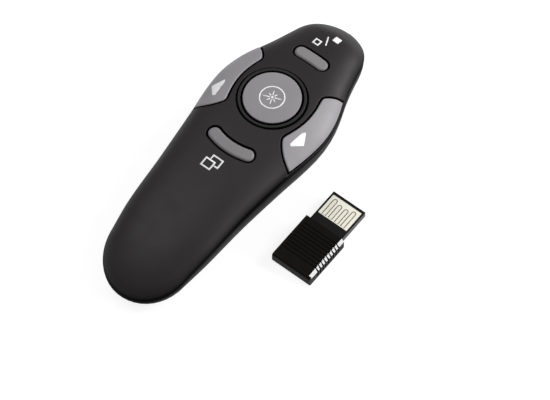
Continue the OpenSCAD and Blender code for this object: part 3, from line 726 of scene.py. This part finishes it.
def bar(p, q, w0, w1):
    """Rounded bar from p to q whose width goes from w0 to w1."""
    p, q = np.array(p, float), np.array(q, float)
    d = (q - p) / np.linalg.norm(q - p)
    n = np.array([-d[1], d[0]])
    return rounded([p - n * w0 / 2, q - n * w1 / 2, q + n * w1 / 2, p + n * w0 / 2], min(w0, w1) * 0.35, 4)


def arrow_mark(pts):
    return [(rounded(pts[::-1]),)]


def screen_mark():
    """Open square, slash and filled square, behind the pill button."""
    return [square_frame(-3.67, -1.32, 41.05, 43.4),
            (bar((-1.19, 46.2), (0.36, 42.77), 0.42, 0.42),),
            (rounded(box(0.4, 2.6, 45.9, 48.15), 0.2),)]


def window_mark():
    """Two overlapping windows, in front of the curved button."""
    behind = [(-1.9, -10.35), (-1.4, -10.35), (-1.4, -9.25), (1.6, -9.25), (1.6, -11.5),
              (0.55, -11.5), (0.55, -12.0), (2.1, -12.0), (2.1, -8.75), (-1.9, -8.75)]
    return [square_frame(-3.25, 0.4, -13.7, -10.5), (np.array(behind),)]


def laser_mark():
    """Plain ring with eight rays of uneven length round a dot."""
    mid = np.array([0.0, LASER_Y - 0.1])
    shapes = [(circle(4.0, mid[1], 96), circle(3.6, mid[1], 96))]
    for i, reach in enumerate([2.9, 1.9, 2.4, 1.9] * 2):
        a = math.radians(45 * i + 22)
        u = np.array([math.cos(a), math.sin(a)])
        shapes.append((bar(mid + u * 0.75, mid + u * reach, 0.42, 0.22),))
    return shapes + [(circle(0.42, mid[1], 24),)]


def finger_lines(outer=0.76, inner=0.52, foot=0.3, n=14):
    """Outlines of the four contacts: two straight legs joined by an arch."""
    face_y = REC_Y + REC_L + PLUG_LEN - FACE_LEN - FACE_RIM
    shapes = []
    for x, reach in [(-3.5, 6.0), (-1.2, 5.2), (1.2, 5.2), (3.5, 6.0)]:
        cx, cy = REC_X + x, face_y + reach

        def arch(r):
            return [(cx + r * math.cos(PI * i / n), cy + r * math.sin(PI * i / n)) for i in range(n + 1)]

        low = face_y + foot
        loop = [(cx + outer, low)] + arch(outer) + [(cx - outer, low), (cx - inner, low)]
        shapes.append((np.array(loop + arch(inner)[::-1] + [(cx + inner, low)]),))
    return shapes


next_arrow = [(14.2, 13.2), (14.8, 14.2), (15.4, 13.5), (16.9, 10.6), (14.3, 7.6), (13.6, 7.95)]
prev_arrow = [(-16.0, 13.5), (-15.6, 14.0), (-15.1, 13.1), (-14.5, 7.8), (-15.3, 7.3), (-17.8, 10.3)]
for name, shapes, ink, place, body in [
        ("next_arrow", arrow_mark(next_arrow), "white", on_crown(PROUD + INK), "next_key"),
        ("prev_arrow", arrow_mark(prev_arrow), "white", on_crown(PROUD + INK), "prev_key"),
        ("screen_mark", screen_mark(), "white", on_crown(INK), "handset"),
        ("window_mark", window_mark(), "white", on_crown(INK), "handset"),
        ("laser_mark", laser_mark(), "white", on_dome, "laser_key"),
        ("finger_lines", finger_lines(), "line", on_contacts, "receiver")]:
    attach(sign_on(name, shapes, M[ink], place), body)


# ---------------------------------------------------------------- receiver
def receiver_case():
    """Case with grooves across it; the ribs between them end in wide chamfers on the right."""
    side, foot, top = REC_W / 2, 0.7, REC_H
    eave, chamfer = top - 0.4, 0.9
    # both sections have the same number of points, so some points of the whole one are doubled
    whole = [(-side, 0), (-side, foot), (-side, foot), (-side, eave), (-side, eave), (-side, top), (-6, top),
             (-6, top), (6.2, top), (side, top - chamfer), (side, foot), (side, foot), (side, 0)]
    groove = [(-side, 0), (-side, foot), (-6.7, foot), (-6.7, eave), (-side, eave), (-side, top), (-6, top),
              (-6, top - 0.25), (5.9, top - 0.25), (6.5, top - chamfer), (6.5, foot), (side, foot), (side, 0)]
    rows = [(0.9, whole)]
    for i in reversed(range(RIB_CUTS)):
        y = REC_L - 2.85 - RIB_PITCH * i
        rows += [(y, whole), (y, groove), (y + RIB_GAP, groove), (y + RIB_GAP, whole)]
    rows.append((REC_L, whole))
    bm = bmesh.new()
    rings = [[bm.verts.new([c * MM for c in (REC_X + x, REC_Y + y, z)]) for x, z in prof] for y, prof in rows]
    k = len(whole)
    for back, front in zip(rings, rings[1:]):
        for i in range(k):
            j = (i + 1) % k
            bm.faces.new([back[i], back[j], front[j], front[i]])
    bm.faces.new(rings[0][::-1])
    bm.faces.new(rings[-1])
    bmesh.ops.remove_doubles(bm, verts=bm.verts, dist=1e-7)
    bmesh.ops.dissolve_degenerate(bm, edges=bm.edges, dist=1e-7)
    bmesh.ops.recalc_face_normals(bm, faces=bm.faces)
    me = bpy.data.meshes.new("receiver_case")
    bm.to_mesh(me)
    me.materials.append(M["rec"])
    me.materials.append(M["rib"])
    for f in me.polygons:
        f.material_index = int(f.normal.x > 0.5 and f.normal.z > 0.5)
    o = bpy.data.objects.new("receiver_case", me)
    bpy.context.scene.collection.objects.link(o)
    return o


stand_in(receiver_case(), "receiver_shell", "receiver")
for name, width in [("receiver_plug", 0.08), ("receiver_end", 0.3)]:
    m = NODE[name].modifiers.new("edges", "BEVEL")
    m.width = width * MM
    m.segments = 3
    m.limit_method = "ANGLE"
    m.angle_limit = math.radians(50)


# ---------------------------------------------------------------- floor
def floor_material():
    """Pale floor that the camera and reflections see as white, with the shadows kept."""
    m = bpy.data.materials.new("floor")
    m.use_nodes = True
    nt = m.node_tree
    matt = nt.nodes["Principled BSDF"]
    matt.inputs["Base Color"].default_value = (0.35, 0.35, 0.35, 1)
    matt.inputs["Roughness"].default_value = 0.9
    glow = node(nt, "ShaderNodeEmission")
    glow.inputs["Color"].default_value = (1, 1, 1, 1)
    glow.inputs["Strength"].default_value = 0.8
    both = node(nt, "ShaderNodeAddShader")
    nt.links.new(matt.outputs[0], both.inputs[0])
    nt.links.new(glow.outputs[0], both.inputs[1])
    path = node(nt, "ShaderNodeLightPath")
    seen = path.outputs["Is Camera Ray"]
    for ray in ("Is Glossy Ray", "Is Transmission Ray"):
        seen = combine(nt, "MAXIMUM", seen, path.outputs[ray])
    mix = node(nt, "ShaderNodeMixShader")
    nt.links.new(seen, mix.inputs[0])
    nt.links.new(matt.outputs[0], mix.inputs[1])
    nt.links.new(both.outputs[0], mix.inputs[2])
    nt.links.new(mix.outputs[0], nt.nodes["Material Output"].inputs["Surface"])
    return m


FLOOR = 3.0  # half side in metres
floor_mesh = bpy.data.meshes.new("floor")
floor_mesh.from_pydata([(-FLOOR, -FLOOR, 0), (FLOOR, -FLOOR, 0), (FLOOR, FLOOR, 0), (-FLOOR, FLOOR, 0)],
                       [], [(0, 1, 2, 3)])
floor_mesh.materials.append(floor_material())
floor = bpy.data.objects.new("floor", floor_mesh)
floor.location.z = -0.05 * MM
bpy.context.scene.collection.objects.link(floor)

# ---------------------------------------------------------------- light
scene = bpy.context.scene
world = bpy.data.worlds.new("studio")
scene.world = world
world.use_nodes = True
world.node_tree.nodes["Background"].inputs["Color"].default_value = (1, 1, 1, 1)
world.node_tree.nodes["Background"].inputs["Strength"].default_value = 0.35


def area(name, target, offset, size, power):
    """Square lamp at an offset from what it is aimed at."""
    lamp = bpy.data.lights.new(name, "AREA")
    lamp.energy = power
    lamp.shape = "RECTANGLE"
    lamp.size, lamp.size_y = size, size
    o = bpy.data.objects.new(name, lamp)
    o.location = target + Vector(offset)
    o.rotation_euler = (-Vector(offset)).to_track_quat("-Z", "Y").to_euler()
    scene.collection.objects.link(o)


AIM = Vector((0.01612, -0.0022, 0.007))  # middle of the photo's frame
RIBS = Vector((0.033, -0.008, 0.004))
area("key", AIM, (0.6, 0.75, 0.6), 0.6, 8.5)
area("top", AIM, (-0.45, -0.15, 1.0), 0.8, 3.6)
area("side", RIBS, (0.870, 0.388, 0.304), 0.25, 2.5)

# ---------------------------------------------------------------- camera
AZIMUTH, ELEVATION = math.radians(38.1), math.radians(60.5)
DISTANCE, FRAME_W = 1.0, 0.1652  # metres from the object, and across the frame there
cam = bpy.data.cameras.new("camera")
cam.sensor_width = 36
cam.lens = cam.sensor_width * DISTANCE / FRAME_W
cam.clip_end = 10
camera = bpy.data.objects.new("camera", cam)
scene.collection.objects.link(camera)
back = Vector((math.sin(AZIMUTH), -math.cos(AZIMUTH), 0))
camera.location = AIM + (back * math.cos(ELEVATION) + Vector((0, 0, math.sin(ELEVATION)))) * DISTANCE
camera.rotation_euler = (AIM - camera.location).to_track_quat("-Z", "Y").to_euler()
scene.camera = camera
scene.view_settings.view_transform = "Standard"
